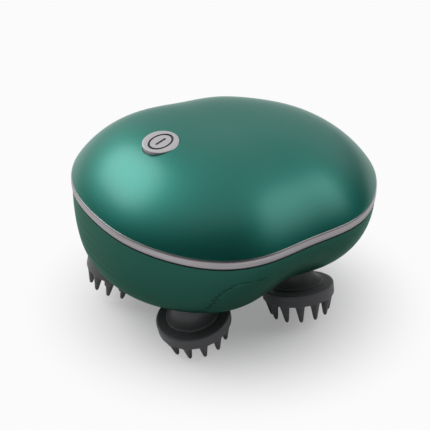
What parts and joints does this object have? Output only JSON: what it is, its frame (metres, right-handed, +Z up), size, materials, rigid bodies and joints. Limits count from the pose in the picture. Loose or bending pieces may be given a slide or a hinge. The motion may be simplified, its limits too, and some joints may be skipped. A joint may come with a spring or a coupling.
{
  "type": "electric scalp massager",
  "caption": "Palm-held electric scalp massager: a domed metallic green casing with a satin trim band and a round button, on leaning kneading heads with soft prongs.",
  "frame": {"origin": "centre of the footprint, on the plane of the lowest prong tips", "axes": "+X along the casing to its narrow nose, +Y across it, +Z up through the dome"},
  "size_m": [0.114, 0.1122, 0.0754],
  "materials": {
    "cover_paint": "metallic emerald coating, satin",
    "casing_paint": "darker green coating, satin",
    "trim_metal": "satin band, faintly rosy",
    "seal_rubber": "dark, matte",
    "collar_plastic": "moulded dark grey, matte",
    "head_silicone": "dark grey silicone, matte",
    "carrier_plastic": "moulded dark grey",
    "button_metal": "light brushed disc with an engraved mark",
    "black_plastic": "moulded black",
    "acetal_gear": "natural white acetal",
    "nylon_plate": "natural nylon",
    "bush_bronze": "sintered bronze",
    "brass": "turned brass",
    "gold_contact": "plated contact",
    "shaft_steel": "ground steel",
    "screw_steel": "zinc plated steel",
    "motor_steel": "drawn steel can",
    "motor_cap": "moulded blue",
    "cell_wrap": null,
    "circuit_board": "glass-epoxy board, green mask"
  },
  "bodies": {
    "casing": {"top_cover": "cover_paint", "trim_ring": "trim_metal", "parting_seal": "seal_rubber", "lower_casing": "casing_paint", "collar_front_left": "collar_plastic", "collar_front_right": "collar_plastic", "collar_rear_left": "collar_plastic", "collar_rear_right": "collar_plastic", "lip_seals": "seal_rubber", "lower_bushes": "bush_bronze", "upper_bushes": "bush_bronze", "lower_plate": "nylon_plate", "upper_plate": "nylon_plate", "lower_standoffs": "brass", "upper_standoffs": "brass", "plate_screws": "screw_steel", "screw_pillars": "brass", "case_screws": "screw_steel", "sun_axle": "shaft_steel", "gearbox_housing": "motor_steel", "gearbox_screws": "screw_steel", "motor_can": "motor_steel", "motor_end_cap": "motor_cap", "battery_cell": "cell_wrap", "battery_cradle": "black_plastic", "main_board": "circuit_board", "board_posts": "nylon_plate", "control_chip": "black_plastic", "capacitors": "black_plastic", "contact_block": "black_plastic", "charge_contacts": "gold_contact", "dock_magnets": "screw_steel", "button_guide": "black_plastic", "switch_board": "circuit_board", "tact_switch": "black_plastic"},
    "button": {"button_cap": "button_metal", "button_plunger": "black_plastic"},
    "motor_rotor": {"motor_pinion": "brass"},
    "sun": {"sun_gear": "acetal_gear"},
    "head_front_left": {"carrier_front_left": "carrier_plastic", "spindle_front_left": "shaft_steel", "gear_front_left": "acetal_gear", "head_front_left": "head_silicone"},
    "head_front_right": {"carrier_front_right": "carrier_plastic", "spindle_front_right": "shaft_steel", "gear_front_right": "acetal_gear", "head_front_right": "head_silicone"},
    "head_rear_left": {"carrier_rear_left": "carrier_plastic", "spindle_rear_left": "shaft_steel", "gear_rear_left": "acetal_gear", "head_rear_left": "head_silicone"},
    "head_rear_right": {"carrier_rear_right": "carrier_plastic", "spindle_rear_right": "shaft_steel", "gear_rear_right": "acetal_gear", "head_rear_right": "head_silicone"}
  },
  "joints": [
    {"name": "button_press", "type": "slide", "parent": "casing", "child": "button", "axis": [0.1636, 0.1305, -0.9778], "range_m": [0, 0.0006], "stiffness_N_per_m": 400, "springref_m": -0.001},
    {"name": "sun_spin", "type": "hinge", "parent": "casing", "child": "sun", "pos_m": [-0.00869, 0, 0], "axis": [0, 0, 1], "continuous": true},
    {"name": "motor_spin", "type": "hinge", "parent": "casing", "child": "motor_rotor", "pos_m": [0.01771, 0, 0], "axis": [0, 0, 1], "continuous": true},
    {"name": "head_front_left_spin", "type": "hinge", "parent": "casing", "child": "head_front_left", "pos_m": [0.01481, 0.024, 0], "axis": [0, 0, 1], "continuous": true},
    {"name": "head_front_right_spin", "type": "hinge", "parent": "casing", "child": "head_front_right", "pos_m": [0.01481, -0.024, 0], "axis": [0, 0, 1], "continuous": true},
    {"name": "head_rear_left_spin", "type": "hinge", "parent": "casing", "child": "head_rear_left", "pos_m": [-0.03219, 0.024, 0], "axis": [0, 0, 1], "continuous": true},
    {"name": "head_rear_right_spin", "type": "hinge", "parent": "casing", "child": "head_rear_right", "pos_m": [-0.03219, -0.024, 0], "axis": [0, 0, 1], "continuous": true}
  ],
  "couplings": [
    {"joint": "motor_spin", "follows": "sun_spin", "ratio": -2.6667},
    {"joint": "head_front_left_spin", "follows": "sun_spin", "ratio": -1.3333},
    {"joint": "head_front_right_spin", "follows": "sun_spin", "ratio": -1.3333},
    {"joint": "head_rear_left_spin", "follows": "sun_spin", "ratio": -1.3333},
    {"joint": "head_rear_right_spin", "follows": "sun_spin", "ratio": -1.3333}
  ]
}
